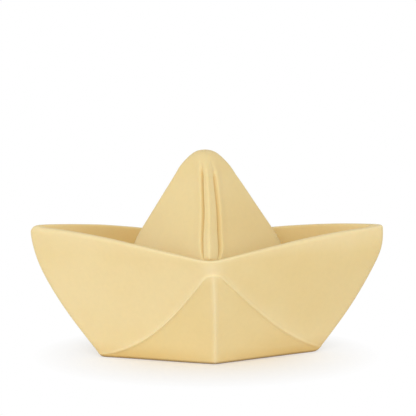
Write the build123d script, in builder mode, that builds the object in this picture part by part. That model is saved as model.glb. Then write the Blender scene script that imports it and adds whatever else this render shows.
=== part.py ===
"""Folded-paper-boat bath toy, moulded in one piece of soft rubber.

The boat lies along X and rests on the plane Z = 0. Its mast line is the Z axis.
All lengths are in millimetres.
"""

from build123d import *

import os
from math import atan2, cos, sin

os.makedirs("parts", exist_ok=True)

# Keel plane: a lozenge that the boat stands on, up to its sharp corners.
base_half_length = 41.2
base_half_width = 17.0
base_radius = 1.0

# Sheer of the rim, seen from the side.
rim_centre_height = 38.0
rim_tip_height = 46.1
sheer_centre_run = 5.4
sheer_tip_start = 30.5

# Side fold: it drops steeply from just under the rim's middle, then runs out to the keel corner.
fold_head_drop = 1.7
fold_half_width = 32.2
fold_steep_reach = 4.6
fold_steep_height = 28.6
fold_shallow_reach = 15.6
fold_shallow_height = 9.2

# Upper panels and stems, drawn past the rim into waste that the sheer takes off.
blank_waste = 3.9
blank_half_length = 65.3
blank_half_width = 37.4
stem_low_reach = 52.9
stem_high_reach = 63.6
stem_radius = 1.7

# Wall and its rolled rim.
wall = 3.2
rim_radius = 1.4
inner_rim_radius = 1.1
inner_stem_radius = 1.5

# Middle ridge of the hull, which fades into a rounded nose under the rim.
ridge_radius = 0.8
nose_radius = 9.0
nose_drop = 5.0
nose_share = 0.72

# Sail: a four-sided pyramid with a rounded crown.
sail_height = 73.4
sail_half_length = 27.9
sail_depth_ratio = 1.06
sail_shoulder_drop = 8.0
sail_shoulder_half_length = 10.4
sail_shoulder_rise = 3.1
sail_crown_half_length = 3.4
sail_crown_flat = 0.25
sail_crown_radius = 1.2
sail_edge_radius = 1.2

# Fold seams that flank the middle rib on the sail's front and back.
seam_radius = 0.5
seam_top_drop = 7.8
seam_top_offset = 1.8
seam_foot_offset = 2.9

# Pinched crests along the folds: their height, the depths of their sides and root, and their run.
crest_height = 0.55
crest_half_width = 1.2
crest_sink = 0.1
crest_turn = 0.5
crest_root = 0.7
fold_crest_start = 0.1
fold_crest_end = 0.88

# Half thickness of the slab about a centre plane in which an edge counts as lying on it.
plane_slack = 0.01

# Heights that follow from the sizes above.
fold_height = rim_centre_height - fold_head_drop
blank_height = rim_tip_height + blank_waste
sail_shoulder_height = sail_height - sail_shoulder_drop
sail_foot_height = wall / 2
nose_foot_height = rim_centre_height - nose_drop

# The facets lean outwards by this run for each unit of rise.
flare = (fold_half_width - base_half_width) / fold_height

# The hull's half angle in plan gives the insets that keep the wall even.
plan_angle = atan2(fold_half_width, blank_half_length)
wall_end_inset = wall / sin(plan_angle)
wall_side_inset = wall / cos(plan_angle)


def straight(start, end):
    """Control points of a straight edge, raised to a cubic."""
    return [start + (end - start) * step / 3 for step in range(4)]


def panel(low, high, inner, outer):
    """Smooth panel that is blended from its four cubic boundary edges."""
    net = []
    for row in range(4):
        v = row / 3
        line = []
        for column in range(4):
            u = column / 3
            across = low[column] * (1 - v) + high[column] * v
            along = inner[row] * (1 - u) + outer[row] * u
            low_chord = low[0] * (1 - u) + low[3] * u
            high_chord = high[0] * (1 - u) + high[3] * u
            line.append(across + along - low_chord * (1 - v) - high_chord * v)
        net.append(line)
    return Face.make_bezier_surface(net)


def facet_point(x, z, end_inset=0.0, side_inset=0.0):
    """Point of the flat lower facet at a reach and a height."""
    half_length = base_half_length - end_inset
    half_width = base_half_width - side_inset
    return Vector(x, half_width * (1 - x / half_length) + flare * z, z)


def fold_points(end_inset=0.0, side_inset=0.0):
    """Control points of the side fold, from the rim's middle down to the keel corner."""
    squeeze = (base_half_length - end_inset) / base_half_length
    return [
        facet_point(0, fold_height, end_inset, side_inset),
        facet_point(fold_steep_reach * squeeze, fold_steep_height, end_inset, side_inset),
        facet_point(fold_shallow_reach * squeeze, fold_shallow_height, end_inset, side_inset),
        facet_point(base_half_length - end_inset, 0, end_inset, side_inset),
    ]


def hull_quarter(end_inset, side_inset):
    """Solid quarter of the uncut hull, drawn in by an inset at the ends and at the sides."""
    fold = fold_points(end_inset, side_inset)
    head, corner = fold[0], fold[3]
    keel = facet_point(0, 0, end_inset, side_inset)
    crown = Vector(0, blank_half_width - side_inset, blank_height)
    tip = Vector(blank_half_length - end_inset, 0, blank_height)
    stem = [
        corner,
        Vector(stem_low_reach - end_inset, 0, blank_height / 3),
        Vector(stem_high_reach - end_inset, 0, blank_height * 2 / 3),
        tip,
    ]
    foot = Vector(0, 0, 0)
    mast = Vector(0, 0, blank_height)
    fold_edge = Edge.make_bezier(*fold)
    stem_edge = Edge.make_bezier(*stem)
    upper = panel(fold, straight(crown, tip), straight(head, crown), stem)
    lower = Face(Wire([Edge.make_line(keel, corner), fold_edge, Edge.make_line(head, keel)]))
    bottom = Face(Wire.make_polygon([foot, corner, keel]))
    lid = Face(Wire.make_polygon([mast, tip, crown]))
    cross = Face(Wire.make_polygon([foot, keel, head, crown, mast]))
    inner_edges = [Edge.make_line(tip, mast), Edge.make_line(mast, foot), Edge.make_line(foot, corner)]
    middle = Face(Wire([stem_edge] + inner_edges))
    return Solid(Shell([upper, lower, bottom, lid, cross, middle]))


def hull_blank(end_inset=0.0, side_inset=0.0):
    """Whole uncut hull, mirrored fore and aft and side to side."""
    with BuildPart() as blank:
        add(hull_quarter(end_inset, side_inset))
        mirror(about=Plane.XZ)
        mirror(about=Plane.YZ)
    return blank.part


def on_centre_plane(part, axis):
    """Edges of a part that lie in the centre plane across an axis."""
    return part.edges().filter_by_position(axis, -plane_slack, plane_slack)


# The nose leans less than the ridge, so it meets it at its foot and cuts deepest at the rim.
nose_depth = nose_share * nose_radius * (1 / cos(plan_angle) - 1)
nose_plane = Plane(
    origin=facet_point(0, nose_foot_height),
    x_dir=(1, 0, 0),
    z_dir=(0, flare - nose_depth / nose_drop, 1),
)

# Outer hull, with rounded stems, ridges, keel edge and rim.
with BuildPart() as boat:
    add(hull_blank())
    with BuildSketch(Plane.XZ.offset(-blank_half_width)):
        with BuildLine():
            Bezier(
                (0, rim_centre_height),
                (sheer_centre_run, rim_centre_height),
                (sheer_tip_start, rim_tip_height),
                (blank_half_length, rim_tip_height),
            )
            Polyline(
                (blank_half_length, rim_tip_height),
                (blank_half_length, blank_height),
                (0, blank_height),
                (0, rim_centre_height),
            )
        make_face()
        mirror(about=Plane.YZ)
    extrude(amount=2 * blank_half_width, mode=Mode.SUBTRACT)

    with BuildSketch(nose_plane):
        Rectangle(2 * nose_radius * sin(plan_angle), nose_radius)
        with Locations((0, -nose_radius)):
            Circle(nose_radius, mode=Mode.SUBTRACT)
    nose_cut = extrude(amount=2 * nose_drop, mode=Mode.PRIVATE)
    add(nose_cut, mode=Mode.SUBTRACT)
    mirror(nose_cut, about=Plane.XZ, mode=Mode.SUBTRACT)

    stems = on_centre_plane(boat, Axis.Y)
    fillet(stems.filter_by_position(Axis.Z, base_radius, nose_foot_height), stem_radius)
    ridges = on_centre_plane(boat, Axis.X)
    fillet(ridges.filter_by_position(Axis.Z, base_radius, nose_foot_height), ridge_radius)
    fillet(boat.faces().sort_by(Axis.Z)[0].edges(), base_radius)
    fillet(boat.faces().filter_by(GeomType.EXTRUSION).sort_by(SortBy.AREA)[-1].edges(), rim_radius)

# Room inside the walls and above the floor.
with BuildPart() as cavity:
    add(hull_blank(wall_end_inset, wall_side_inset))
    split(bisect_by=Plane.XY.offset(wall), keep=Keep.TOP)
    posts = on_centre_plane(cavity, Axis.Y)
    fillet(posts.filter_by_position(Axis.Z, 2 * wall, rim_tip_height), inner_stem_radius)

with boat:
    add(cavity.part, mode=Mode.SUBTRACT)
    rim_band = boat.faces().filter_by(GeomType.EXTRUSION).sort_by(SortBy.AREA)[-1]
    fillet(rim_band.inner_wires()[0].edges(), inner_rim_radius)

# Space that the sail may fill: up to the middle of the walls, and free above the rim.
with BuildPart() as sail_room:
    add(hull_blank(wall_end_inset / 2, wall_side_inset / 2))
    with BuildSketch(Plane.XY.offset(blank_height)):
        Rectangle(2 * blank_half_length, 2 * blank_half_width)
    extrude(amount=sail_height)


def sail_reach(z):
    """Half length of the sail's straight flanks at a height."""
    lean = (sail_half_length - sail_shoulder_half_length) / (sail_shoulder_height - rim_centre_height)
    return sail_shoulder_half_length + lean * (sail_shoulder_height - z)


def seam_point(offset, z):
    """Point on the sail's face at an offset beside its middle rib."""
    return Vector(offset, sail_depth_ratio * (sail_reach(z) - offset), z)


with BuildPart() as sail:
    crown_reach = sail_reach(sail_shoulder_height + sail_shoulder_rise)
    with BuildSketch(Plane.XZ):
        with BuildLine():
            Polyline(
                (0, sail_height),
                (0, sail_foot_height),
                (sail_reach(sail_foot_height), sail_foot_height),
                (sail_shoulder_half_length, sail_shoulder_height),
            )
            Bezier(
                (sail_shoulder_half_length, sail_shoulder_height),
                (crown_reach, sail_shoulder_height + sail_shoulder_rise),
                (sail_crown_half_length, sail_height),
                (0, sail_height),
            )
        make_face()
        mirror(about=Plane.YZ)
    extrude(amount=sail_height, both=True, dir=(1, sail_depth_ratio, 0))
    add(mirror(about=Plane.YZ, mode=Mode.PRIVATE), mode=Mode.INTERSECT)
    split(bisect_by=Plane.XY.offset(sail_height - sail_crown_flat), keep=Keep.BOTTOM)
    upright = on_centre_plane(sail, Axis.X) + on_centre_plane(sail, Axis.Y)
    fillet(upright.filter_by_position(Axis.Z, wall, sail_height), sail_edge_radius)
    fillet(sail.faces().sort_by(Axis.Z)[-1].edges(), sail_crown_radius)
    add(sail_room.part, mode=Mode.INTERSECT)

    seam_head = seam_point(seam_top_offset, sail_height - seam_top_drop)
    seam_foot = seam_point(seam_foot_offset, rim_centre_height - wall)
    with BuildSketch(Plane(origin=seam_head, z_dir=seam_foot - seam_head)):
        Circle(seam_radius)
    seam = extrude(amount=(seam_foot - seam_head).length, mode=Mode.PRIVATE)
    for groove in (seam, seam.mirror(Plane.YZ)):
        add(groove, mode=Mode.SUBTRACT)
        add(groove.mirror(Plane.XZ), mode=Mode.SUBTRACT)

with boat:
    add(sail.part)


def opening(line, share):
    """Control points of the opening share of a cubic."""
    first = [line[step] + (line[step + 1] - line[step]) * share for step in range(3)]
    second = [first[step] + (first[step + 1] - first[step]) * share for step in range(2)]
    return [line[0], first[0], second[0], second[0] + (second[1] - second[0]) * share]


def crest_face(one, other):
    """Ruled face between two lines of control points."""
    return Face.make_bezier_surface([list(pair) for pair in zip(one, other)])


# Crests: slim blades along the folds, of which only the backs stand proud of the hull.
with BuildPart() as crests:
    head, steep, shallow, corner = fold_points()
    run = opening([head, steep, shallow, corner], fold_crest_end)
    run = opening(run[::-1], 1 - fold_crest_start / fold_crest_end)[::-1]
    inward = (facet_point(0, 0) - head).cross(corner - head).normalized()
    down = (corner - head).normalized().cross(inward)
    ends = [point + inward * crest_sink for point in (run[0], run[3])]
    offsets = [
        inward * -crest_height,
        inward * crest_sink + down * crest_half_width,
        inward * crest_root,
        inward * crest_turn - down * crest_half_width,
    ]
    edges = [[ends[0], run[1] + offset, run[2] + offset, ends[1]] for offset in offsets]
    add(Solid(Shell([crest_face(edges[side - 1], edges[side]) for side in range(4)])))
    mirror(about=Plane.YZ)
    mirror(about=Plane.XZ)

with boat:
    add(crests.part)

boat.part.label = "origami_boat"
export_step(boat.part, "parts/origami_boat.step")
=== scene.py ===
"""Looks of a bath toy that is moulded in soft rubber in the shape of a folded paper boat.

The toy is one piece. It lies along X and rests on the plane Z = 0, with its mast line on the Z axis.
Its sizes are given in millimetres and turned to metres when a mesh is made.
"""

import logging
import math
from collections.abc import Callable
from dataclasses import dataclass, field, replace
from enum import Enum, IntEnum
from functools import cached_property

import bpy
import numpy as np
from mathutils import Matrix, Vector


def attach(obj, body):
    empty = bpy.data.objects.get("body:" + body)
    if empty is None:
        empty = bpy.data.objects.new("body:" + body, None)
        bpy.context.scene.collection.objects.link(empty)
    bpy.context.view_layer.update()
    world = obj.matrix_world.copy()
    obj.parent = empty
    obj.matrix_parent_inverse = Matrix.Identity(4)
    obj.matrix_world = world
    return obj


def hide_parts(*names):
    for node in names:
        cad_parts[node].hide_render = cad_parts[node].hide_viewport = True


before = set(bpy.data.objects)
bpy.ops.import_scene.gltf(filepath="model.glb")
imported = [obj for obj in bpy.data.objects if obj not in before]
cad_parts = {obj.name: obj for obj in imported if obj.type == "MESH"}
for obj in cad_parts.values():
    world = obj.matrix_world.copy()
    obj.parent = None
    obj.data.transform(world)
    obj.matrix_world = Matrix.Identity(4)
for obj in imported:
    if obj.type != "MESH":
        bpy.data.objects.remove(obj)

MM = 0.001
NODE = "origami_boat"
BODY = "root"
# Point attribute that holds the painted light and shade of the skin.
PAINTED_TONE = "painted_light_and_shade"

# Least length that a vector is divided by.
TINY = 1e-9

# Halvings of a search along a curve, and trial points of a table along the hull.
HALVINGS = 30
TRIALS = 60

# A rounded corner takes at most an eighth of its ring on each side, and its reach settles in four rounds.
RING_PART = 8
REACH_ROUNDS = 4

# Cosine past which two runs count as one line, and half angle in radians past which a corner stays.
STRAIGHT_COSINE = 0.9999
FLAT_HALF_ANGLE = 1.5

# Values between which a noise pattern mostly lies.
NOISE_LOW, NOISE_HIGH = 0.3, 0.7

# A colour mix takes its two colours at these inputs and gives its result at this output.
FIRST_COLOUR, SECOND_COLOUR, MIXED = 6, 7, 2

log = logging.getLogger("boat")


class Side(Enum):
    """The two ends of the boat, by the sign of X."""

    LEFT = -1
    RIGHT = 1


class Band(IntEnum):
    """First ring of each band of the skin: up the hull, over the rim, down the wall and up to the sail."""

    KEEL = 3
    FACET = 6
    CREST = 8
    PANEL = 13
    RIM = 17
    LIP = 22
    WALL = 26
    WELL = 28
    JOIN = 31


class Socket(Enum):
    """Kinds of named input that a geometry tree may have."""

    SHAPE = "NodeSocketGeometry"
    NUMBER = "NodeSocketFloat"
    COUNT = "NodeSocketInt"
    FINISH = "NodeSocketMaterial"


def linear(code: str) -> tuple[float, float, float, float]:
    """Turns an sRGB hex colour to a linear one.

    Args:
        code: Colour such as "#E8D090".

    Returns:
        Red, green, blue and an alpha of 1.
    """
    parts = [int(code[start:start + 2], 16) / 255 for start in (1, 3, 5)]
    toe, knee, gain, power = 0.04045, 0.055, 12.92, 2.4
    values = [part / gain if part <= toe else ((part + knee) / (1 + knee)) ** power for part in parts]
    return values[0], values[1], values[2], 1.0


def add_node(
    tree: bpy.types.NodeTree, kind: str, settings: dict | None = None, links: dict | None = None,
) -> bpy.types.Node:
    """Adds a node with its settings and its inputs.

    Args:
        tree: Tree that the node joins.
        kind: Node type, such as "ShaderNodeTexNoise".
        settings: Attributes of the node by name.
        links: Inputs by name or index, each an output socket to link or a value to set.

    Returns:
        The new node.
    """
    node = tree.nodes.new(kind)
    for name, value in (settings or {}).items():
        setattr(node, name, value)
    for key, value in (links or {}).items():
        if isinstance(value, bpy.types.NodeSocket):
            tree.links.new(value, node.inputs[key])
        else:
            node.inputs[key].default_value = value
    return node


def cubic(points: np.ndarray, t: float) -> np.ndarray:
    """Point on a cubic curve.

    Args:
        points: Four control points, one a row.
        t: Parameter from 0 to 1.

    Returns:
        The point.
    """
    s = 1 - t
    weights = np.array([s**3, 3 * s**2 * t, 3 * s * t**2, t**3])
    return weights @ points


def mix(a: np.ndarray | float, b: np.ndarray | float, share: float) -> np.ndarray | float:
    """Value a share of the way from a to b."""
    return a + (b - a) * share


def smooth(value: float, low: float, high: float) -> float:
    """Soft step.

    Args:
        value: Where the step is read.
        low: Value at which it starts to rise from 0.
        high: Value at which it reaches 1.

    Returns:
        A share from 0 to 1.
    """
    share = min(max((value - low) / (high - low), 0.0), 1.0)
    return share * share * (3 - 2 * share)


def bell(offset: float, width: float) -> float:
    """Bell curve: 1 at an offset of 0, and next to nothing at twice the width."""
    return math.exp(-((offset / width) ** 2))


def last_share(holds: Callable[[float], bool], high: float = 1.0) -> float:
    """Searches for the last share at which a condition holds.

    Args:
        holds: Condition that is true at first and false from some share on.
        high: Share at which the search ends.

    Returns:
        The share.
    """
    low = 0.0
    for _ in range(HALVINGS):
        middle = (low + high) / 2
        if holds(middle):
            low = middle
        else:
            high = middle
    return low


def unit(vector: np.ndarray) -> np.ndarray:
    """Vector of length 1 in the same direction."""
    return vector / max(float(np.linalg.norm(vector)), TINY)


def half_angle(one: np.ndarray, other: np.ndarray) -> float:
    """Half of the angle between two directions."""
    return math.acos(float(np.clip(one @ other, -STRAIGHT_COSINE, STRAIGHT_COSINE))) / 2


def round_off(
    before: np.ndarray, corner: np.ndarray, after: np.ndarray, radius: float, count: int,
) -> list[np.ndarray]:
    """Arc that rounds a corner of a polyline.

    Args:
        before: Point before the corner.
        corner: The sharp corner.
        after: Point after the corner.
        radius: Radius wanted. It is limited by the two runs beside the corner.
        count: Number of points, both ends of the arc among them.

    Returns:
        Points from the run before the corner to the run after it.
    """
    run_in = unit(before - corner)
    run_out = unit(after - corner)
    half = half_angle(run_in, run_out)
    run_share = 0.46
    room = run_share * min(np.linalg.norm(before - corner), np.linalg.norm(after - corner))
    reach = min(radius / math.tan(half), room)
    size = reach * math.tan(half)
    middle = unit(run_in + run_out)
    lateral = unit(run_out - middle * (run_out @ middle))
    centre = corner + middle * size / math.sin(half)
    sweep = math.pi / 2 - half
    angles = [mix(-sweep, sweep, step / (count - 1)) for step in range(count)]
    return [centre + size * (lateral * math.sin(a) - middle * math.cos(a)) for a in angles]


def round_ring(ring: np.ndarray, corner: int, radius: float) -> None:
    """Rounds one corner of a closed ring in place.

    Args:
        ring: Points of the ring, one a row.
        corner: Index of the sharp point.
        radius: Radius of the arc.
    """
    count = len(ring)
    apex = ring[corner].copy()
    runs = []
    for step in (1, -1):
        places = [(corner + step * k) % count for k in range(1, count // RING_PART)]
        lengths = [float(np.linalg.norm(ring[place] - apex)) for place in places]
        runs.append((places, lengths))
    reach = radius
    for _ in range(REACH_ROUNDS):
        heads = []
        for places, lengths in runs:
            far = next((k for k, length in enumerate(lengths) if length >= reach), len(lengths) - 1)
            heads.append(unit(ring[places[far]] - apex))
        half = half_angle(heads[0], heads[1])
        reach = radius / math.tan(half)
    if half > FLAT_HALF_ANGLE:
        return
    bisector = unit(heads[0] + heads[1])
    centre = apex + bisector * radius / math.sin(half)
    sweep = math.pi / 2 - half
    for (places, lengths), head in zip(runs, heads):
        lateral = unit(head - bisector * (head @ bisector))
        for place, length in zip(places, lengths):
            if length >= reach:
                break
            angle = sweep * length / reach
            ring[place] = centre + radius * (lateral * math.sin(angle) - bisector * math.cos(angle))
    ring[corner] = centre - radius * bisector


@dataclass(frozen=True)
class HullForm:
    """Sharp form of one quarter of the hull."""

    base_half_length: float = 40.1
    base_half_width: float = 17.0
    flare: float = 0.4172
    rim_centre_height: float = 38.3
    rim_tip_height: float = 46.4
    sheer_centre_run: float = 5.4
    sheer_tip_start: float = 30.5
    fold_head_height: float = 35.2
    fold_steep: tuple[float, float] = (8.0, 27.5)
    fold_shallow: tuple[float, float] = (17.5, 3.0)
    fold_end: tuple[float, float] = (40.7, 0.7)
    blank_height: float = 50.0
    blank_half_length: float = 64.4
    blank_half_width: float = 36.6
    stem_low_reach: float = 52.2
    stem_high_reach: float = 65.9
    end_inset: float = 0.0
    side_inset: float = 0.0

    def facet(self, x: float, z: float) -> np.ndarray:
        """Point of the flat lower facet at a reach and a height."""
        half_length = self.base_half_length - self.end_inset
        half_width = self.base_half_width - self.side_inset
        return np.array([x, max(half_width * (1 - x / half_length) + self.flare * z, 0.0), z])

    def fold_net(self) -> np.ndarray:
        """Control points of the side fold, from its head to the foot of the stem."""
        squeeze = 1 - self.end_inset / self.base_half_length
        head = self.facet(0, self.fold_head_height)
        steep = self.facet(self.fold_steep[0] * squeeze, self.fold_steep[1])
        shallow = self.facet(self.fold_shallow[0] * squeeze, self.fold_shallow[1])
        end = np.array([self.fold_end[0] - self.end_inset, 0.0, self.fold_end[1]])
        return np.array([head, steep, shallow, end])

    def panel_net(self) -> np.ndarray:
        """Control net of the upper panel, blended from its four edges."""
        fold = self.fold_net()
        crown = np.array([0.0, self.blank_half_width - self.side_inset, self.blank_height])
        tip = np.array([self.blank_half_length - self.end_inset, 0.0, self.blank_height])
        stem = np.array([
            fold[3],
            [self.stem_low_reach - self.end_inset, 0.0, self.blank_height / 3],
            [self.stem_high_reach - self.end_inset, 0.0, self.blank_height * 2 / 3],
            tip,
        ])
        net = np.zeros((4, 4, 3))
        for row in range(4):
            v = row / 3
            inner = mix(fold[0], crown, v)
            for column in range(4):
                u = column / 3
                across = mix(fold[column], mix(crown, tip, u), v)
                along = mix(inner, stem[row], u)
                chords = mix(mix(fold[0], fold[3], u), mix(crown, tip, u), v)
                net[row, column] = across + along - chords
        return net

    def panel(self, net: np.ndarray, u: float, v: float) -> np.ndarray:
        """Point of the upper panel.

        Args:
            net: Control net of the panel.
            u: From 0 at the middle of the boat to 1 at the stem.
            v: From 0 at the fold to 1 above the rim.

        Returns:
            The point.
        """
        rows = np.array([cubic(net[row], u) for row in range(4)])
        return cubic(rows, v)

    def sheer(self, x: float) -> float:
        """Height of the rim at a reach."""
        low, high = self.rim_centre_height, self.rim_tip_height
        reach = np.array([0.0, self.sheer_centre_run, self.sheer_tip_start, self.blank_half_length])
        share = last_share(lambda t: cubic(reach, t) < x)
        return float(cubic(np.array([low, low, high, high]), share))

    def rim_share(self, net: np.ndarray, u: float) -> float:
        """Share v of the panel at which it meets the sheer."""
        def under_rim(v: float) -> bool:
            """Whether the panel is still under the rim."""
            point = self.panel(net, u, v)
            return point[2] < self.sheer(point[0])

        return last_share(under_rim)


@dataclass(frozen=True)
class SailForm:
    """Form of the four-sided sail, and the radii by which its edges are rounded."""

    height: float = 73.12
    half_length_at_rim: float = 28.15
    rim_height: float = 38.0
    shoulder_height: float = 64.5
    shoulder_half_length: float = 11.1
    shoulder_rise: float = 3.6
    crown_half_length: float = 7.95
    depth_ratio: float = 1.03
    edge_radius: float = 1.3
    edge_rounding: tuple[float, float] = (66.0, 73.0)
    face_radius: float = 0.3
    face_rounding: tuple[float, float] = (66.0, 71.0)
    crown_roundness: float = 0.62

    def lean(self) -> float:
        """Run of the flanks for each unit that they drop."""
        drop = self.shoulder_height - self.rim_height
        return (self.half_length_at_rim - self.shoulder_half_length) / drop

    def reach(self, z: float) -> float:
        """Half length of the sail at a height."""
        start, top = self.shoulder_half_length, self.height - self.shoulder_height
        if z <= self.shoulder_height:
            return start + self.lean() * (self.shoulder_height - z)
        reach = np.array([start, start - self.lean() * self.shoulder_rise, self.crown_half_length, 0.0])
        rise = np.array([0.0, self.shoulder_rise, top, top])
        share = last_share(lambda t: cubic(rise, t) < z - self.shoulder_height)
        return float(cubic(reach, share))

    def face(self, x: float, z: float) -> np.ndarray:
        """Point of the front face at an offset from the mast line and a height."""
        return np.array([x, self.depth_ratio * (self.reach(z) - x), z])

    def radii(self, z: float) -> tuple[float, float]:
        """Radii of the flanks' edges and of the faces' middles at a height."""
        crown = self.crown_roundness * self.reach(z)
        edge = mix(self.edge_radius, crown, smooth(z, *self.edge_rounding))
        return edge, mix(self.face_radius, edge, smooth(z, *self.face_rounding))


@dataclass(frozen=True)
class SeamForm:
    """Pressed seam beside the sail's middle rib, with the soft lip outside it."""

    top_height: float
    top_offset: float
    foot_offset: float
    half_width: float
    depth: float
    bend: float = 0.0
    foot_height: float = 36.0
    longest_share: float = 1.15
    fade_start: float = 2.2
    fade_end: float = 0.3
    trace_depth: float = 0.16
    trace_height: float = 70.5
    rib_fade: float = 2.0
    rib_rise: float = 0.22
    rib_places: tuple[float, ...] = (0.0, 0.19, 0.45)
    rib_profile: tuple[float, ...] = (1.0, 0.9, 0.6, 0.35)
    edge_places: tuple[float, ...] = (-1.9, -1.05, -0.42, 0.42, 1.05, 1.9)
    edge_rise: float = 0.1
    lip_rise: float = 0.24
    lip_places: tuple[float, ...] = (1.5, 2.4)
    lip_profile: tuple[float, ...] = (1.0, 0.8)

    def offset(self, z: float) -> float:
        """Distance of the seam's middle from the mast line at a height."""
        share = (self.top_height - z) / (self.top_height - self.foot_height)
        straight = mix(self.top_offset, self.foot_offset, min(max(share, 0.0), self.longest_share))
        return straight - self.bend * max(z - self.top_height, 0.0)

    def places(self, z: float) -> list[float]:
        """Offsets from the mast line, at a height, of the columns across the rib, the seam and the lip."""
        middle = self.offset(z)
        rib = [middle * share for share in self.rib_places]
        edges = [middle + self.half_width * share for share in self.edge_places]
        return rib + edges + [middle + run for run in self.lip_places]

    def sink(self, z: float) -> float:
        """Depth of the seam at a height: full below its top, and a soft trace above it."""
        cut = self.depth * (1 - smooth(z, self.top_height - self.fade_start, self.top_height + self.fade_end))
        trace = self.trace_depth * (1 - smooth(z, self.top_height, self.trace_height))
        return max(cut, trace)

    def relief(self, column: int, z: float, strength: float) -> float:
        """Height of the rib and the lip, and depth of the seam as a value below 0.

        Args:
            column: Column, from 0 at the middle rib.
            z: Height.
            strength: Share of the relief.

        Returns:
            Distance by which the skin stands out.
        """
        raised = strength * (1 - smooth(z, self.top_height, self.trace_height + self.rib_fade))
        press = self.sink(z) * strength
        profile = [self.rib_rise * share * raised for share in self.rib_profile]
        profile += [self.edge_rise * raised, -press, -press, self.edge_rise * raised]
        profile += [self.lip_rise * share * raised for share in self.lip_profile]
        return profile[column] if column < len(profile) else 0.0


@dataclass(frozen=True)
class TipKink:
    """Place under the rim where a tip of the real boat stands a little further out."""

    push: float
    height: float
    spread: float

    def at(self, z: float) -> float:
        """Push outwards at a height."""
        return self.push * bell(z - self.height, self.spread)


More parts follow.
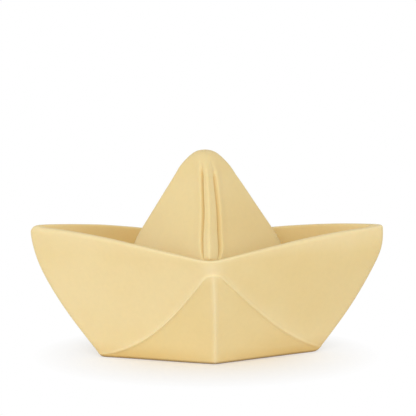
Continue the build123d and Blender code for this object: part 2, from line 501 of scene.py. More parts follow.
@dataclass
class BoatShell:
    """Moulded body of the boat: hull, rolled rim, wells and sail in one skin."""

    hulls: dict[Side, HullForm] = field(default_factory=lambda: {
        Side.LEFT: HullForm(),
        Side.RIGHT: HullForm(
            base_half_length=42.3, fold_steep=(9.5, 27.3), fold_shallow=(21.0, 8.5), fold_end=(42.9, 1.0),
            blank_half_length=63.9, stem_low_reach=54.2, stem_high_reach=65.1, rim_tip_height=46.6,
        ),
    })
    sail: SailForm = field(default_factory=SailForm)
    seams: dict[Side, SeamForm] = field(default_factory=lambda: {
        Side.LEFT: SeamForm(67.4, 1.6, 2.6, 0.36, 1.7, bend=-0.12),
        Side.RIGHT: SeamForm(66.3, 2.65, 4.1, 0.5, 1.8, bend=0.28),
    })

    # Columns across the sail and along the hull.
    flank_shares: tuple[float, ...] = (0.09, 0.2, 0.33, 0.46, 0.59, 0.71, 0.81, 0.88, 0.94, 1.0)
    flank_room: float = 1.35
    column_power: float = 1.55
    column_blend: tuple[float, float] = (0.42, 0.8)

    # Wall, base and panels.
    wall_end_inset: float = 6.2
    wall_side_inset: float = 3.3
    base_radius: float = 1.3
    base_shares: tuple[float, ...] = (0.35, 0.7, 0.9)
    facet_shares: tuple[float, ...] = (0.3, 0.65)
    panel_shares: tuple[float, ...] = (0.2, 0.42, 0.64, 0.84)

    # Pinched crest along each side fold.
    crest_height: float = 0.8
    crest_half_width: float = 1.2
    crest_room: float = 0.3
    crest_profile: tuple[tuple[float, float], ...] = (
        (-1.0, 0.0), (-0.5, 0.45), (0.0, 1.0), (0.5, 0.45), (1.0, 0.0),
    )
    crest_start: tuple[float, float] = (1.2, 4.2)
    crest_end: tuple[float, float] = (0.76, 1.0)
    crest_slope_share: float = 0.12
    fold_step: float = 0.01

    # Rolled rim.
    rim_radius: float = 1.5
    inner_rim_radius: float = 1.2
    tip_radius: dict[Side, float] = field(default_factory=lambda: {Side.LEFT: 4.2, Side.RIGHT: 1.0})
    tip_start: float = 0.72
    rim_slope_share: float = 0.9
    rim_room: float = 1.5
    nose_rim_room: float = 3.0
    nose_end: float = 0.2

    # Wells, and the sail's foot and levels.
    wall_shares: tuple[float, ...] = (0.33, 0.67)
    wall_end_share: float = 0.98
    well_radius: float = 0.8
    least_well: float = 0.9
    well_step: float = 0.002
    join_height: float = 42.0
    join_start_share: float = 0.35
    join_shares: tuple[float, ...] = (0.25, 0.5, 0.75, 1.0)
    sail_levels: tuple[float, ...] = (
        44.0, 47.0, 50.5, 54.0, 57.5, 60.5, 62.8, 64.3, 65.4, 66.6, 68.0, 69.4, 70.7, 71.7, 72.4, 72.9,
    )

    @cached_property
    def quarter(self) -> int:
        """Number of columns from the middle of the boat to a stem, the stem's own left out."""
        return len(self.sail_places(Side.LEFT, self.join_height)) - 1

    @property
    def stems(self) -> tuple[int, int]:
        """Places in a ring of the right and the left stem."""
        return 0, 2 * self.quarter

    @property
    def middles(self) -> tuple[int, int]:
        """Places in a ring of the far and the near side's middle."""
        return self.quarter, 3 * self.quarter

    def inner_hull(self, side: Side) -> HullForm:
        """Hull of one side, drawn in by the wall."""
        return replace(self.hulls[side], end_inset=self.wall_end_inset, side_inset=self.wall_side_inset)

    def sail_places(self, side: Side, z: float) -> list[float]:
        """Offsets from the mast line of the sail's columns at a height.

        Args:
            side: Left or right half.
            z: Height.

        Returns:
            Offsets, from 0 at the middle rib to the sail's edge.
        """
        near = self.seams[side].places(z)
        reach = self.sail.reach(z)
        room = near[-1] * self.flank_room
        if reach < room:
            squeeze = reach / room
            near = [place * squeeze for place in near]
        return near + [mix(near[-1], reach, share) for share in self.flank_shares]

    @cached_property
    def hull_shares(self) -> dict[Side, list[float]]:
        """Shares u of each side's hull columns, from 0 at the middle to 1 at the stem."""
        trials = [step / TRIALS for step in range(TRIALS + 1)]
        found = {}
        for side in Side:
            inner = self.inner_hull(side)
            net = inner.panel_net()
            reaches = [float(inner.panel(net, u, inner.rim_share(net, u))[0]) for u in trials]
            shares = []
            for index, place in enumerate(self.sail_places(side, self.join_height)):
                even = index / self.quarter
                near = float(np.interp(place, reaches, trials))
                far = 1 - (1 - even) ** self.column_power
                shares.append(mix(near, far, smooth(even, *self.column_blend)))
            shares[-1] = 1.0
            found[side] = shares
        return found

    def section(self, index: int, side: Side) -> np.ndarray:
        """Section of the skin along one column, from the base's centre to the crown.

        Args:
            index: Column, from 0 at the middle to the last at the stem.
            side: Left or right half.

        Returns:
            Points with X and Y not below 0, one a row.
        """
        outer, inner = self.hulls[side], self.inner_hull(side)
        outer_net, inner_net = outer.panel_net(), inner.panel_net()
        u = self.hull_shares[side][index]
        fold = cubic(outer.fold_net(), u)
        base = outer.facet(outer.base_half_length * fold[0] / outer.fold_end[0], 0.0)
        rim_share, lip_share = outer.rim_share(outer_net, u), inner.rim_share(inner_net, u)
        rim, lip = outer.panel(outer_net, u, rim_share), inner.panel(inner_net, u, lip_share)

        crest = self.crest(outer, outer_net, u, base)
        points = [base * share for share in self.base_shares]
        points += round_off(points[-1], base, fold, self.base_radius, Band.FACET - Band.KEEL)
        points += [mix(points[-1], crest[0], share) for share in self.facet_shares]
        points += crest

        radius = mix(self.rim_radius, self.tip_radius[side], smooth(u, self.tip_start, 1.0))
        below = outer.panel(outer_net, u, rim_share * self.rim_slope_share)
        below = mix(rim, below, self.nose_rim_room if u < self.nose_end else self.rim_room)
        rim_arc = round_off(below, rim, lip, radius, Band.LIP - Band.RIM)
        for share in self.panel_shares:
            bow = outer.panel(outer_net, u, rim_share * share) - mix(fold, rim, share)
            points.append(mix(crest[-1], rim_arc[0], share) + bow)
        points += rim_arc

        well = self.well_point(inner, inner_net, u, lip_share)
        join_x = self.sail_places(side, self.join_height)[index]
        above = mix(well, self.sail.face(join_x, self.join_height), self.join_start_share)
        wall_end = mix(lip, well, self.wall_end_share)
        lip_arc = round_off(rim, lip, wall_end, self.inner_rim_radius, Band.WALL - Band.LIP)
        well_arc = round_off(lip_arc[-1], well, above, self.well_radius, Band.JOIN - Band.WELL)
        points += lip_arc
        points += [mix(lip_arc[-1], well_arc[0], share) for share in self.wall_shares]
        points += well_arc

        for share in self.join_shares:
            x = mix(well[0], join_x, smooth(share, 0.0, 1.0))
            z = mix(float(well_arc[-1][2]), self.join_height, share)
            points.append(self.on_sail(index, side, x, z, share))
        for z in self.sail_levels:
            points.append(self.on_sail(index, side, self.sail_places(side, z)[index], z, 1.0))
        return np.array(points)

    def crest(self, hull: HullForm, net: np.ndarray, u: float, base: np.ndarray) -> list[np.ndarray]:
        """Pinched crest across the side fold on one column.

        Args:
            hull: Outer hull.
            net: Control net of its upper panel.
            u: Share of the column.
            base: Point of the keel's edge under the fold.

        Returns:
            Points from the facet over the fold to the panel.
        """
        line = hull.fold_net()
        fold = cubic(line, u)
        facet_run = unit(base - fold)
        panel_run = unit(hull.panel(net, u, self.crest_slope_share) - fold)
        along = unit(cubic(line, min(u + self.fold_step, 1.0)) - cubic(line, u - self.fold_step))
        outward = unit(np.cross(along, panel_run - facet_run))
        outward = outward * (1 if outward[1] + outward[0] > 0 else -1)
        fade = smooth(fold[0], *self.crest_start) * (1 - smooth(u, *self.crest_end))
        half = min(self.crest_half_width, self.crest_room * float(np.linalg.norm(fold - base)))
        points = []
        for share, rise in self.crest_profile:
            run = panel_run if share > 0 else -facet_run
            points.append(fold + run * share * half + outward * rise * fade * self.crest_height)
        return points

    def well_point(self, inner: HullForm, net: np.ndarray, u: float, rim_share: float) -> np.ndarray:
        """Bottom of the well on one column, where the wall's inside meets the sail.

        Args:
            inner: Hull drawn in by the wall.
            net: Control net of its upper panel.
            u: Share of the column.
            rim_share: Share v of the panel at the rim.

        Returns:
            The point.
        """
        def under_sail(v: float) -> bool:
            """Whether the wall's inside still lies within the sail."""
            x, y, z = inner.panel(net, u, v)
            return self.sail.reach(z) > x + y / self.sail.depth_ratio

        wall = inner.panel(net, u, last_share(under_sail, rim_share))
        rim = inner.panel(net, u, rim_share)
        if rim[2] - wall[2] >= self.least_well:
            return wall
        share = rim_share
        while rim[2] - inner.panel(net, u, share)[2] < self.least_well:
            share -= self.well_step
        wall = inner.panel(net, u, share)
        return (wall + self.sail.face(wall[0], wall[2])) / 2

    def on_sail(self, index: int, side: Side, x: float, z: float, strength: float) -> np.ndarray:
        """Point of the sail's skin, with the seam, the rib and the lip pressed into it.

        Args:
            index: Column.
            side: Left or right half.
            x: Offset from the mast line.
            z: Height.
            strength: Share of the seam's relief.

        Returns:
            The point.
        """
        ratio = self.sail.depth_ratio
        outward = unit(np.array([ratio, 1.0, ratio * self.sail.lean()]))
        return self.sail.face(x, z) + outward * self.seams[side].relief(index, z, strength)

    def rings(self) -> np.ndarray:
        """Whole skin as rings of points.

        Returns:
            Array of rings by columns by 3. The columns go round from the right stem by the far side.
        """
        right = [self.section(index, Side.RIGHT) for index in range(self.quarter + 1)]
        left = [self.section(index, Side.LEFT) for index in range(self.quarter + 1)]
        quarters = (
            (right[:0:-1], (1, 1, 1)), (left[:-1], (-1, 1, 1)),
            (left[:0:-1], (-1, -1, 1)), (right[:-1], (1, -1, 1)),
        )
        around = [section * np.array(signs) for sections, signs in quarters for section in sections]
        return np.array(around).transpose(1, 0, 2)


@dataclass
class HandMoulding:
    """Gives the skin its rounded edges and the lopsidedness of the real boat."""

    shell: BoatShell = field(default_factory=BoatShell)

    # Stems and noses.
    stem_radius: float = 1.7
    inner_stem_radius: float = 0.7
    low_stem_share: float = 0.9
    low_stem_rings: tuple[float, float] = (2.0, 14.0)
    nose_radius: float = 8.0
    nose_drop: float = 5.4

    # Middle ridges.
    ridge_radius: float = 0.9
    ridge_crest: float = 0.8
    ridge_start: tuple[float, float] = (0.4, 3.0)
    ridge_end: tuple[float, float] = (30.0, 36.5)
    ridge_width: float = 0.7
    ridge_columns: int = 12
    ridge_shift: float = 0.55
    shift_end: tuple[float, float] = (33.0, 38.0)
    shift_width: float = 5.0

    # What is lopsided: tips, near rim, sail and twist.
    tip_kinks: dict[Side, TipKink] = field(default_factory=lambda: {
        Side.LEFT: TipKink(1.5, 40.4, 2.4),
        Side.RIGHT: TipKink(1.8, 40.2, 2.6),
    })
    kink_reach: tuple[float, float] = (48.0, 61.0)
    near_sag: float = 0.6
    sag_start: tuple[float, float] = (5.0, 24.0)
    sag_end: tuple[float, float] = (57.0, 63.0)
    sag_heights: tuple[float, float] = (33.0, 42.0)
    sag_depth: tuple[float, float] = (-0.5, 1.5)
    sail_stretch: float = 0.017
    stretch_heights: tuple[float, float] = (59.0, 67.0)
    twist_heights: tuple[float, ...] = (0.0, 33.0, 38.5, 46.5, 52.0)
    twist_deg: tuple[float, ...] = (4.0, -0.7, -1.8, -1.6, 0.0)

    def rings(self) -> np.ndarray:
        """Rings of the skin in their final shape.

        Returns:
            Array of rings by columns by 3.
        """
        rings = self.shell.rings()
        for index, ring in enumerate(rings):
            if index >= Band.JOIN:
                self.round_sail(ring)
                self.widen_sail(ring)
            elif index >= Band.KEEL:
                self.round_hull(ring, index)
                self.push_tips(ring)
                self.lower_near_rim(ring)
            self.twist(ring)
        return rings

    def round_sail(self, ring: np.ndarray) -> None:
        """Rounds the sail's edges and, above its shoulder, the middles of its faces.

        Args:
            ring: Ring of points.
        """
        sail = self.shell.sail
        level = float(ring[0][2])
        edge, face = sail.radii(level)
        for corner in self.shell.stems:
            round_ring(ring, corner, edge)
        if level > sail.shoulder_height:
            for corner in self.shell.middles:
                round_ring(ring, corner, face)

    def round_hull(self, ring: np.ndarray, index: int) -> None:
        """Rounds the stems and the middle ridges, and pinches the ridges on the outside.

        Args:
            ring: Ring of points.
            index: Its number.
        """
        shell = self.shell
        outside = index < Band.LIP
        height = float(ring[shell.quarter][2])
        rim_height = shell.hulls[Side.LEFT].rim_centre_height
        stem = self.stem_radius if outside else self.inner_stem_radius
        low = mix(self.low_stem_share, 1.0, smooth(index, *self.low_stem_rings))
        for corner in shell.stems:
            round_ring(ring, corner, stem * low)
        nose = float(np.interp(height, (rim_height - self.nose_drop, rim_height), (0.0, 1.0)))
        for corner in shell.middles:
            round_ring(ring, corner, mix(self.ridge_radius, self.nose_radius, nose))
        if outside:
            rise = self.ridge_crest * (1 - smooth(height, *self.ridge_end))
            shift = self.ridge_shift * (1 - smooth(height, *self.shift_end))
            self.raise_ridge(ring, rise * smooth(height, *self.ridge_start), shift)

    def raise_ridge(self, ring: np.ndarray, rise: float, shift: float) -> None:
        """Pinches the middle ridge outwards and shifts it a little along the boat.

        Args:
            ring: Ring of points.
            rise: Height of the pinch.
            shift: Run of the shift, towards the right on the near side and the left on the far side.
        """
        for middle in self.shell.middles:
            away = 1.0 if ring[middle][1] > 0 else -1.0
            for step in range(-self.ridge_columns, self.ridge_columns + 1):
                point = ring[(middle + step) % len(ring)]
                point[1] += away * rise * bell(point[0], self.ridge_width)
                point[0] -= away * shift * bell(point[0], self.shift_width)

    def push_tips(self, ring: np.ndarray) -> None:
        """Pushes the tips out under the rim, where the real ones stand upright.

        Args:
            ring: Ring of points.
        """
        for point in ring:
            side = Side.RIGHT if point[0] > 0 else Side.LEFT
            push = self.tip_kinks[side].at(point[2]) * smooth(abs(point[0]), *self.kink_reach)
            point[0] += side.value * push

    def lower_near_rim(self, ring: np.ndarray) -> None:
        """Lowers the near side's rim a little between its middle and the tips, where the real one sags.

        Args:
            ring: Ring of points.
        """
        for point in ring:
            out = abs(point[0])
            share = smooth(out, *self.sag_start) * (1 - smooth(out, *self.sag_end))
            share = share * smooth(point[2], *self.sag_heights)
            point[2] -= self.near_sag * share * smooth(-point[1], *self.sag_depth)

    def widen_sail(self, ring: np.ndarray) -> None:
        """Stretches the right half of the sail a little under its shoulder.

        Args:
            ring: Ring of points.
        """
        for point in ring:
            if point[0] > 0:
                point[0] *= 1 + self.sail_stretch * (1 - smooth(point[2], *self.stretch_heights))

    def twist(self, ring: np.ndarray) -> None:
        """Turns a ring about the mast line, as the real moulding is a little twisted from keel to rim.

        Args:
            ring: Ring of points.
        """
        for point in ring:
            turn = math.radians(float(np.interp(point[2], self.twist_heights, self.twist_deg)))
            x, y = float(point[0]), float(point[1])
            point[0] = x * math.cos(turn) - y * math.sin(turn)
            point[1] = x * math.sin(turn) + y * math.cos(turn)


@dataclass(frozen=True)
class BandTone:
    """Painted light and shade of a few rings in a row."""

    first: int
    tones: tuple[float, ...]

    def at(self, index: int) -> float:
        """Tone of a ring, and 0 outside the band."""
        step = index - self.first
        return self.tones[step] if 0 <= step < len(self.tones) else 0.0


@dataclass(frozen=True)
class PaintedLightTones:
    """Painted light and shade of the skin by its place: above 0 for painted highlights and light, below 0 for
    painted shade.
    """

    # Painted highlight along the crests of the side folds, weaker on the right.
    fold: BandTone = BandTone(Band.CREST + 1, (0.35, 0.8, 0.7, 0.4))
    right_fold_highlight: float = 0.6
    # Painted highlight along the rolled rim.
    rim: BandTone = BandTone(Band.RIM, (0.4, 0.5, 0.65, 0.65, 0.5))
    # Painted light on the left upper panels, which face the lamp.
    left_panel_light: BandTone = BandTone(Band.PANEL - 1, (0.5, 0.5, 0.42, 0.32, 0.22, 0.15))
    # Painted shade in the wells, stronger on the left and fading towards the tips.
    well: BandTone = BandTone(Band.LIP + 2, (0.5, 0.8, 1.0, 1.0, 1.0))
    left_well_shade: float = 0.75
    right_well_shade: float = 0.4
    well_shade_end: tuple[float, float] = (42.0, 56.0)
    # Painted highlight along the middle ridges and over the nose.
    ridge_width: float = 0.85
    nose: float = 0.9
    nose_highlight_width: float = 3.4
    # Painted shade at the foot of the right end.
    right_foot_shade: float = 0.35
    right_foot_shade_reach: tuple[float, float] = (8.0, 26.0)
    right_foot_shade_heights: tuple[float, float] = (4.0, 12.0)
    # Painted light at the sail's foot.
    sail_foot_light: float = 0.2
    sail_foot_light_heights: tuple[float, float] = (40.0, 50.0)
    # Painted shade on the sail's right face, weaker higher up.
    right_sail_shade: float = 0.3
    right_sail_shade_reach: tuple[float, float] = (1.5, 4.0)
    right_sail_shade_heights: tuple[float, float] = (50.0, 62.0)
    right_sail_shade_fade: float = 0.5

    def at(self, index: int, x: float, z: float, ridge: float) -> float:
        """Painted light and shade of one point.

        Args:
            index: Ring of the point.
            x: Reach of the point.
            z: Height of the point.
            ridge: Reach of the ring's middle on the same side.

        Returns:
            The painted tone: above 0 lighter, below 0 darker.
        """
        left = x < 0
        tone = self.rim.at(index) + self.fold.at(index) * (1.0 if left else self.right_fold_highlight)
        # Painted highlight along the middle ridge, and over the nose.
        if Band.KEEL <= index < Band.PANEL:
            tone = max(tone, bell(x - ridge, self.ridge_width))
        if Band.CREST < index < Band.RIM:
            tone = max(tone, self.nose * bell(x - ridge, self.nose_highlight_width))
        # Painted light on the left panels, and painted shade at the right foot.
        if left:
            tone = max(tone, self.left_panel_light.at(index))
        elif index <= self.fold.first:
            tone -= self.right_foot_shade * smooth(x, *self.right_foot_shade_reach) * (1 - smooth(z, *self.right_foot_shade_heights))
        # Painted light at the sail's foot, and painted shade on its right face.
        if index >= Band.JOIN - 1:
            tone += self.sail_foot_light * (1 - smooth(z, *self.sail_foot_light_heights))
            fade = 1 - self.right_sail_shade_fade * smooth(z, *self.right_sail_shade_heights)
            tone -= self.right_sail_shade * smooth(x - ridge, *self.right_sail_shade_reach) * fade
        # Painted shade in the wells.
        depth = self.left_well_shade if left else self.right_well_shade
        tone -= depth * self.well.at(index) * (1 - smooth(abs(x), *self.well_shade_end))
        return float(tone)


@dataclass(frozen=True)
class Noise:
    """Size and roughness of a noise pattern."""

    size_mm: float
    detail: float
    roughness: float

    def links(self, place: bpy.types.NodeSocket) -> dict:
        """Inputs of a noise node.

        Args:
            place: Coordinates that it reads.

        Returns:
            Inputs by name.
        """
        scale = 1 / (self.size_mm * MM)
        return {"Vector": place, "Scale": scale, "Detail": self.detail, "Roughness": self.roughness}


@dataclass(frozen=True)
class MouldedRubber:
    """Soft natural rubber, moulded with a matte skin.

    It gives the eye a pale yellow that is even but not flat: painted highlights on crests and rim, painted
    shade in the wells and at the foot, a painted contact shadow at the base, and a little translucency at its
    edges.
    """

    name: str = "moulded_natural_rubber"
    body: str = "#EBD49A"
    light: str = "#EED9A3"
    deep: str = "#E6CC8C"
    body_share: float = 0.6
    # Painted highlight colour of the crests, rim, ridges, nose and left panels.
    painted_highlight: str = "#F6E6BC"
    painted_highlight_share: float = 0.55
    # Painted shade colour of the wells, the right foot, the sail's right face and the foot of the hull.
    shaded: str = "#D9B468"
    shaded_share: float = 0.75
    # Painted shade that darkens the hull towards the floor, less in the middle than at the ends.
    foot_shade_mm: float = 7.0
    foot_shade_share: float = 0.7
    foot_shade_middle_share: float = 0.25
    foot_shade_reach_mm: float = 30.0
    # Painted contact shadow along the base.
    contact_shadow: str = "#7E552A"
    contact_shadow_mm: float = 1.1
    contact_shadow_share: float = 0.85
    speck_low: float = 0.985
    speck_high: float = 1.01
    roughness: float = 0.56
    roughness_swing: float = 0.04
    ior: float = 1.52
    specular: float = 0.4
    glow: float = 0.12
    glow_depth_mm: float = 3.0
    glow_reach: tuple[float, float, float] = (1.0, 0.62, 0.32)
    grain_depth_mm: float = 0.012
    grain_strength: float = 0.5
    # Clouds of unevenly mixed rubber, and the mottle of its skin.
    clouds: Noise = Noise(26.0, 2.0, 0.5)
    mottle: Noise = Noise(1.6, 3.0, 0.6)
    # The mould's own grain is finer than this. It is drawn this coarse so that it still shows.
    grain: Noise = Noise(0.55, 2.0, 0.55)

    def make(self) -> bpy.types.Material:
        """Builds the material.

        Returns:
            The material.
        """
        material = bpy.data.materials.new(self.name)
        material.use_nodes = True
        tree = material.node_tree
        tree.nodes.clear()
        place = add_node(tree, "ShaderNodeTexCoord").outputs["Object"]
        clouds, mottle, grain = (
            add_node(tree, "ShaderNodeTexNoise", links=noise.links(place)).outputs["Fac"]
            for noise in (self.clouds, self.mottle, self.grain)
        )
        colour = self.colour(tree, place, clouds)
        speck = add_node(
            tree, "ShaderNodeMapRange",
            links={
                "Value": mottle, "From Min": NOISE_LOW, "From Max": NOISE_HIGH,
                "To Min": self.speck_low, "To Max": self.speck_high,
            },
        ).outputs["Result"]
        specked = add_node(
            tree, "ShaderNodeMix", {"data_type": "RGBA", "blend_type": "MULTIPLY"},
            {"Factor": 1.0, FIRST_COLOUR: colour, SECOND_COLOUR: speck},
        ).outputs[MIXED]
        bump = add_node(
            tree, "ShaderNodeBump",
            links={"Height": grain, "Strength": self.grain_strength, "Distance": self.grain_depth_mm * MM},
        ).outputs["Normal"]
        matte = add_node(
            tree, "ShaderNodeMapRange",
            links={
                "Value": mottle, "From Min": NOISE_LOW, "From Max": NOISE_HIGH,
                "To Min": self.roughness - self.roughness_swing,
                "To Max": self.roughness + self.roughness_swing,
            },
        ).outputs["Result"]
        skin = add_node(
            tree, "ShaderNodeBsdfPrincipled",
            links={
                "Base Color": specked, "Roughness": matte, "Normal": bump,
                "IOR": self.ior, "Specular IOR Level": self.specular,
                "Subsurface Weight": self.glow, "Subsurface Radius": self.glow_reach,
                "Subsurface Scale": self.glow_depth_mm * MM,
            },
        )
        add_node(tree, "ShaderNodeOutputMaterial", links={"Surface": skin.outputs["BSDF"]})
        return material

    def colour(
        self, tree: bpy.types.NodeTree, place: bpy.types.NodeSocket, clouds: bpy.types.NodeSocket,
    ) -> bpy.types.NodeSocket:
        """Lays the skin's colours over each other: clouds, painted shade, painted highlights and the painted
        contact shadow along the base.

        Args:
            tree: Tree of the material.
            place: Object coordinates.
            clouds: Pattern of the unevenly mixed rubber.

        Returns:
            The colour.
        """
        ramp = add_node(tree, "ShaderNodeValToRGB", links={"Fac": clouds})
        stops = ((NOISE_LOW, self.deep), (NOISE_HIGH, self.light))
        for element, (position, code) in zip(ramp.color_ramp.elements, stops):
            element.position = position
            element.color = linear(code)
        # The kept tone: above 0 mixes in the painted highlight, below 0 the painted shade.
        kept = add_node(tree, "ShaderNodeAttribute", {"attribute_name": PAINTED_TONE}).outputs["Fac"]
        painted_highlight = add_node(tree, "ShaderNodeMapRange", links={"Value": kept, "To Max": self.painted_highlight_share})
        deep = add_node(
            tree, "ShaderNodeMapRange",
            links={"Value": kept, "From Min": 0.0, "From Max": -1.0, "To Max": self.shaded_share},
        )
        parts = add_node(tree, "ShaderNodeSeparateXYZ", links={"Vector": place}).outputs
        # Painted shade towards the floor, stronger at the ends.
        low = add_node(
            tree, "ShaderNodeMapRange", {"interpolation_type": "SMOOTHSTEP"},
            {"Value": parts["Z"], "From Min": self.foot_shade_mm * MM, "From Max": 0.0, "To Max": self.foot_shade_share},
        )
        reach = add_node(tree, "ShaderNodeMath", {"operation": "ABSOLUTE"}, {0: parts["X"]})
        ends = add_node(
            tree, "ShaderNodeMapRange",
            links={
                "Value": reach.outputs["Value"], "From Max": self.foot_shade_reach_mm * MM,
                "To Min": self.foot_shade_middle_share, "To Max": 1.0,
            },
        )
        foot = add_node(
            tree, "ShaderNodeMath", {"operation": "MULTIPLY"},
            {0: low.outputs["Result"], 1: ends.outputs["Result"]},
        )
        # Painted shade share: the larger of the foot's and the kept tone's.
        painted_shade = add_node(
            tree, "ShaderNodeMath", {"operation": "MAXIMUM"},
            {0: foot.outputs["Value"], 1: deep.outputs["Result"]},
        )
        # Painted contact shadow just above the floor.
        painted_contact = add_node(
            tree, "ShaderNodeMapRange",
            links={
                "Value": parts["Z"], "From Min": self.contact_shadow_mm * MM, "From Max": 0.0,
                "To Max": self.contact_shadow_share,
            },
        )
        colour = ramp.outputs["Color"]
        layers = (
            (self.body_share, self.body), (painted_shade.outputs["Value"], self.shaded),
            (painted_highlight.outputs["Result"], self.painted_highlight), (painted_contact.outputs["Result"], self.contact_shadow),
        )
        for share, code in layers:
            colour = add_node(
                tree, "ShaderNodeMix", {"data_type": "RGBA"},
                {"Factor": share, FIRST_COLOUR: colour, SECOND_COLOUR: linear(code)},
            ).outputs[MIXED]
        return colour


@dataclass(frozen=True)
class StudioPaper:
    """Matte white paper sweep. It gives the eye a plain ground that keeps the boat's soft shadow."""

    name: str = "studio_paper"
    tone: str = "#F8F6F4"
    roughness: float = 0.9
    specular: float = 0.1
    half_length: float = 0.062
    half_width: float = 0.050
    clear_start: float = 0.2
    clear_end: float = 1.0

    def make(self) -> bpy.types.Material:
        """Builds the material: paper near the boat, and clean white for the eye further out.

        Returns:
            The material.
        """
        material = bpy.data.materials.new(self.name)
        material.use_nodes = True
        tree = material.node_tree
        tree.nodes.clear()
        place = add_node(tree, "ShaderNodeTexCoord").outputs["Object"]
        size = (1 / self.half_length, 1 / self.half_width, 0.0)
        shares = add_node(tree, "ShaderNodeVectorMath", {"operation": "MULTIPLY"}, {0: place, 1: size})
        total = add_node(tree, "ShaderNodeVectorMath", {"operation": "LENGTH"}, {0: shares.outputs["Vector"]})
        away = add_node(
            tree, "ShaderNodeMapRange",
            links={"Value": total.outputs["Value"], "From Min": self.clear_start, "From Max": self.clear_end},
        )
        rays = add_node(tree, "ShaderNodeLightPath")
        seen = add_node(
            tree, "ShaderNodeMath", {"operation": "MULTIPLY"},
            {0: rays.outputs["Is Camera Ray"], 1: away.outputs["Result"]},
        )
        paper = add_node(
            tree, "ShaderNodeBsdfPrincipled",
            links={
                "Base Color": linear(self.tone), "Roughness": self.roughness,
                "Specular IOR Level": self.specular,
            },
        )
        white = add_node(tree, "ShaderNodeEmission", links={"Color": (1, 1, 1, 1), "Strength": 1.0})
        blend = add_node(
            tree, "ShaderNodeMixShader",
            links={"Fac": seen.outputs["Value"], 1: paper.outputs["BSDF"], 2: white.outputs["Emission"]},
        )
        add_node(tree, "ShaderNodeOutputMaterial", links={"Surface": blend.outputs["Shader"]})
        return material


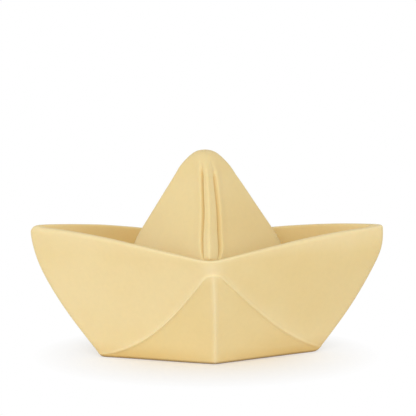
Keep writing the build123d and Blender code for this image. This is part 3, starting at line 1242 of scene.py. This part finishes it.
@dataclass(frozen=True)
class SoftMoulding:
    """Geometry tree that makes the control mesh a soft moulding: smooth, a little wavy and leaning."""

    name: str = "soft_moulding"
    smoothness: int = 2
    lean_mm: float = -1.28
    lean_start_mm: float = 30.0
    lean_end_mm: float = 74.0
    lean_reach_mm: float = 27.0
    lean_fade: float = 1.35
    ripple_mm: float = 0.05
    ripple_size_mm: float = 14.0
    ripple_detail: float = 1.0
    ripple_roughness: float = 0.4
    flat_mm: float = 1.0
    clear_mm: float = 5.0
    seed: float = 7.0

    def values(self, finish: bpy.types.Material) -> dict[str, tuple]:
        """Named inputs of the tree, each with its kind and value.

        Args:
            finish: Material of the skin.

        Returns:
            Pairs of kind and value by name.
        """
        lengths = {
            "Lean": self.lean_mm,
            "Lean start": self.lean_start_mm,
            "Lean end": self.lean_end_mm,
            "Lean reach": self.lean_reach_mm,
            "Ripple height": self.ripple_mm,
            "Ripple size": self.ripple_size_mm,
        }
        values = {"Smoothness": (Socket.COUNT, self.smoothness)}
        values |= {name: (Socket.NUMBER, length * MM) for name, length in lengths.items()}
        return values | {"Seed": (Socket.NUMBER, self.seed), "Finish": (Socket.FINISH, finish)}

    def tree(self, values: dict[str, tuple]) -> bpy.types.NodeTree:
        """Builds the tree.

        Args:
            values: Named inputs.

        Returns:
            The tree.
        """
        tree = bpy.data.node_groups.new(self.name, "GeometryNodeTree")
        tree.interface.new_socket("Shape", in_out="INPUT", socket_type=Socket.SHAPE.value)
        for name, (kind, _) in values.items():
            tree.interface.new_socket(name, in_out="INPUT", socket_type=kind.value)
        tree.interface.new_socket("Shape", in_out="OUTPUT", socket_type=Socket.SHAPE.value)
        given = add_node(tree, "NodeGroupInput").outputs
        smoothed = add_node(
            tree, "GeometryNodeSubdivisionSurface",
            links={"Mesh": given["Shape"], "Level": given["Smoothness"]},
        ).outputs["Mesh"]
        place = add_node(tree, "GeometryNodeInputPosition").outputs["Position"]
        parts = add_node(tree, "ShaderNodeSeparateXYZ", links={"Vector": place}).outputs
        leaned = add_node(
            tree, "GeometryNodeSetPosition",
            links={"Geometry": smoothed, "Offset": self.lean(tree, given, parts)},
        ).outputs["Geometry"]
        rippled = add_node(
            tree, "GeometryNodeSetPosition",
            links={"Geometry": leaned, "Offset": self.ripple(tree, given, place, parts["Z"])},
        ).outputs["Geometry"]
        real = add_node(tree, "GeometryNodeRealizeInstances", links={"Geometry": rippled}).outputs["Geometry"]
        dressed = add_node(
            tree, "GeometryNodeSetMaterial", links={"Geometry": real, "Material": given["Finish"]},
        ).outputs["Geometry"]
        add_node(tree, "NodeGroupOutput", links={"Shape": dressed})
        return tree

    def lean(
        self, tree: bpy.types.NodeTree, given: bpy.types.NodeOutputs, parts: bpy.types.NodeOutputs,
    ) -> bpy.types.NodeSocket:
        """Lean of the sail to one side, which grows with height and leaves the tips alone.

        Args:
            tree: Tree that the nodes join.
            given: Named inputs of the tree.
            parts: X, Y and Z of each point.

        Returns:
            Offset of each point.
        """
        lean = add_node(
            tree, "ShaderNodeMapRange",
            links={
                "Value": parts["Z"], "From Min": given["Lean start"], "From Max": given["Lean end"],
                "To Min": 0.0, "To Max": given["Lean"],
            },
        ).outputs["Result"]
        out = add_node(tree, "ShaderNodeMath", {"operation": "ABSOLUTE"}, {0: parts["X"]}).outputs["Value"]
        past = add_node(
            tree, "ShaderNodeMath", {"operation": "MULTIPLY"}, {0: given["Lean reach"], 1: self.lean_fade},
        ).outputs["Value"]
        near = add_node(
            tree, "ShaderNodeMapRange", {"interpolation_type": "SMOOTHSTEP"},
            {"Value": out, "From Min": given["Lean reach"], "From Max": past, "To Min": 1.0, "To Max": 0.0},
        ).outputs["Result"]
        run = add_node(tree, "ShaderNodeMath", {"operation": "MULTIPLY"}, {0: lean, 1: near}).outputs["Value"]
        return add_node(tree, "ShaderNodeCombineXYZ", links={"X": run}).outputs["Vector"]

    def ripple(
        self, tree: bpy.types.NodeTree, given: bpy.types.NodeOutputs, place: bpy.types.NodeSocket,
        height: bpy.types.NodeSocket,
    ) -> bpy.types.NodeSocket:
        """Slight ripple of the skin along its normal, which leaves the base flat.

        Args:
            tree: Tree that the nodes join.
            given: Named inputs of the tree.
            place: Position of each point.
            height: Height of each point.

        Returns:
            Offset of each point.
        """
        fineness = add_node(
            tree, "ShaderNodeMath", {"operation": "DIVIDE"}, {0: 1.0, 1: given["Ripple size"]},
        ).outputs["Value"]
        wave = add_node(
            tree, "ShaderNodeTexNoise", {"noise_dimensions": "4D"},
            {
                "Vector": place, "W": given["Seed"], "Scale": fineness,
                "Detail": self.ripple_detail, "Roughness": self.ripple_roughness,
            },
        ).outputs["Fac"]
        swing = add_node(
            tree, "ShaderNodeMapRange",
            links={
                "Value": wave, "From Min": NOISE_LOW, "From Max": NOISE_HIGH, "To Min": -1.0, "To Max": 1.0,
            },
        ).outputs["Result"]
        clear = add_node(
            tree, "ShaderNodeMapRange", {"interpolation_type": "SMOOTHSTEP"},
            {
                "Value": height, "From Min": self.flat_mm * MM, "From Max": self.clear_mm * MM,
                "To Min": 0.0, "To Max": 1.0,
            },
        ).outputs["Result"]
        share = add_node(
            tree, "ShaderNodeMath", {"operation": "MULTIPLY"}, {0: swing, 1: clear},
        ).outputs["Value"]
        rise = add_node(
            tree, "ShaderNodeMath", {"operation": "MULTIPLY"}, {0: share, 1: given["Ripple height"]},
        ).outputs["Value"]
        normal = add_node(tree, "GeometryNodeInputNormal").outputs["Normal"]
        return add_node(
            tree, "ShaderNodeVectorMath", {"operation": "SCALE"}, {0: normal, "Scale": rise},
        ).outputs["Vector"]

    def apply(self, piece: bpy.types.Object, finish: bpy.types.Material) -> None:
        """Runs the tree on a piece and keeps the result as a plain mesh.

        Args:
            piece: Piece whose mesh is the control mesh.
            finish: Material of the skin.
        """
        values = self.values(finish)
        tree = self.tree(values)
        shaper = piece.modifiers.new(self.name, "NODES")
        shaper.node_group = tree
        for socket in tree.interface.items_tree:
            if socket.in_out == "INPUT" and socket.name in values:
                shaper[socket.identifier] = values[socket.name][1]
        graph = bpy.context.evaluated_depsgraph_get()
        mesh = bpy.data.meshes.new_from_object(piece.evaluated_get(graph))
        piece.modifiers.clear()
        piece.data = mesh


@dataclass
class BathBoat:
    """The toy itself: meshes the skin, softens it like a moulding and dresses it."""

    form: HandMoulding = field(default_factory=HandMoulding)
    tones: PaintedLightTones = field(default_factory=PaintedLightTones)
    rubber: MouldedRubber = field(default_factory=MouldedRubber)
    moulding: SoftMoulding = field(default_factory=SoftMoulding)
    name: str = "boat_body"

    def painted_tones(self, rings: np.ndarray) -> list[float]:
        """Painted light and shade of the skin at each point.

        Args:
            rings: Rings of the skin in millimetres.

        Returns:
            One tone a point, in the order of the rings.
        """
        far, near = self.form.shell.middles
        found = []
        for index, ring in enumerate(rings):
            for x, y, z in ring:
                ridge = ring[far][0] if y > 0 else ring[near][0]
                found.append(self.tones.at(index, x, z, ridge))
        return found

    def cage(self) -> bpy.types.Object:
        """Makes the control mesh from the rings, with a point in the middle of the base and of the crown.

        Returns:
            The object.
        """
        rings = self.form.rings()
        count, around = rings.shape[:2]
        points = [tuple(point) for ring in rings * MM for point in ring]
        foot, head = len(points), len(points) + 1
        points += [(0.0, 0.0, 0.0), (0.0, 0.0, self.form.shell.sail.height * MM)]
        top = (count - 1) * around
        steps = [(column, (column + 1) % around) for column in range(around)]
        faces = []
        for low in range(0, top, around):
            high = low + around
            faces += [(low + column, low + beside, high + beside, high + column) for column, beside in steps]
        for column, beside in steps:
            faces.append((foot, beside, column))
            faces.append((head, top + column, top + beside))
        mesh = bpy.data.meshes.new(self.name)
        mesh.from_pydata(points, [], faces)
        mesh.validate()
        # Painted light and shade of each point, read by the material.
        tone = mesh.attributes.new(PAINTED_TONE, "FLOAT", "POINT")
        tone.data.foreach_set("value", self.painted_tones(rings) + [0.0, 0.0])
        piece = bpy.data.objects.new(self.name, mesh)
        bpy.context.scene.collection.objects.link(piece)
        return piece

    def build(self) -> bpy.types.Object:
        """Shapes, softens and dresses the boat.

        Returns:
            The finished piece.
        """
        piece = self.cage()
        self.moulding.apply(piece, self.rubber.make())
        for polygon in piece.data.polygons:
            polygon.use_smooth = True
        return piece


@dataclass
class Studio:
    """Floor, lamp, even light and camera."""

    paper: StudioPaper = field(default_factory=StudioPaper)
    floor_half_size: float = 40.0
    camera_distance: float = 0.520
    camera_azimuth_deg: float = 3.5
    camera_elevation_deg: float = 9.67
    target_height: float = 0.030
    focal_mm: float = 126.9
    sensor_mm: float = 36.0
    nearest: float = 0.01
    farthest: float = 200.0
    tilt_up_deg: float = 2.45
    roll_rad: float = 0.0047
    horizon_strength: float = 0.95
    zenith_strength: float = 0.45
    key_place: tuple[float, float, float] = (-0.17, -1.0, 0.75)
    key_aim: tuple[float, float, float] = (0.0, 0.0, 0.03)
    key_size: float = 0.9
    key_power: float = 6.4

    def floor(self) -> bpy.types.Object:
        """Lays the floor.

        Returns:
            The floor.
        """
        half = self.floor_half_size
        mesh = bpy.data.meshes.new("floor")
        corners = [(-half, -half, 0.0), (half, -half, 0.0), (half, half, 0.0), (-half, half, 0.0)]
        mesh.from_pydata(corners, [], [(0, 1, 2, 3)])
        mesh.materials.append(self.paper.make())
        piece = bpy.data.objects.new("floor", mesh)
        bpy.context.scene.collection.objects.link(piece)
        return piece

    def key(self) -> None:
        """Hangs the soft square lamp that lights the near side."""
        light = bpy.data.lights.new("key", "AREA")
        light.shape = "SQUARE"
        light.size = self.key_size
        light.energy = self.key_power
        piece = bpy.data.objects.new("key", light)
        piece.location = self.key_place
        aim = Vector(self.key_aim) - Vector(self.key_place)
        piece.rotation_euler = aim.to_track_quat("-Z", "Y").to_euler()
        bpy.context.scene.collection.objects.link(piece)

    def world(self) -> None:
        """Sets the even light all round, which falls off with height, and a white background."""
        world = bpy.data.worlds.new("studio")
        bpy.context.scene.world = world
        world.use_nodes = True
        tree = world.node_tree
        tree.nodes.clear()
        rays = add_node(tree, "ShaderNodeLightPath")
        way = add_node(tree, "ShaderNodeTexCoord").outputs["Generated"]
        rise = add_node(tree, "ShaderNodeSeparateXYZ", links={"Vector": way}).outputs["Z"]
        shade = add_node(
            tree, "ShaderNodeMapRange",
            links={"Value": rise, "To Min": self.horizon_strength, "To Max": self.zenith_strength},
        )
        seen = add_node(
            tree, "ShaderNodeMix",
            links={"Factor": rays.outputs["Is Camera Ray"], "A": shade.outputs["Result"], "B": 1.0},
        )
        sky = add_node(
            tree, "ShaderNodeBackground", links={"Color": (1, 1, 1, 1), "Strength": seen.outputs["Result"]},
        )
        add_node(tree, "ShaderNodeOutputWorld", links={"Surface": sky.outputs["Background"]})

    def camera(self) -> None:
        """Places the camera at the photograph's viewing angle."""
        azimuth = math.radians(self.camera_azimuth_deg)
        elevation = math.radians(self.camera_elevation_deg)
        data = bpy.data.cameras.new("camera")
        data.lens = self.focal_mm
        data.sensor_width = self.sensor_mm
        data.clip_start = self.nearest
        data.clip_end = self.farthest
        piece = bpy.data.objects.new("camera", data)
        back = Vector((
            -math.sin(azimuth) * math.cos(elevation),
            -math.cos(azimuth) * math.cos(elevation),
            math.sin(elevation),
        ))
        piece.location = back * self.camera_distance + Vector((0, 0, self.target_height))
        aim = -back
        right = Vector((math.cos(azimuth), -math.sin(azimuth), 0))
        up = right.cross(aim)
        tilt = math.radians(self.tilt_up_deg)
        view = aim * math.cos(tilt) + up * math.sin(tilt)
        top = right.cross(view)
        side = right * math.cos(self.roll_rad) + top * math.sin(self.roll_rad)
        top = side.cross(view)
        rows = [[side[axis], top[axis], -view[axis]] for axis in range(3)]
        piece.rotation_euler = Matrix(rows).to_euler()
        bpy.context.scene.collection.objects.link(piece)
        bpy.context.scene.camera = piece


def main() -> None:
    """Builds the boat and its studio."""
    logging.basicConfig(level=logging.INFO, format="%(message)s")
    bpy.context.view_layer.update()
    studio = Studio()
    floor = studio.floor()
    studio.world()
    studio.key()
    studio.camera()
    boat = BathBoat().build()
    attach(boat, BODY)
    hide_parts(NODE)
    log.info("%s: %d faces", boat.name, len(boat.data.polygons))
    bpy.context.scene.view_settings.view_transform = "Standard"


if __name__ == "__main__":
    main()
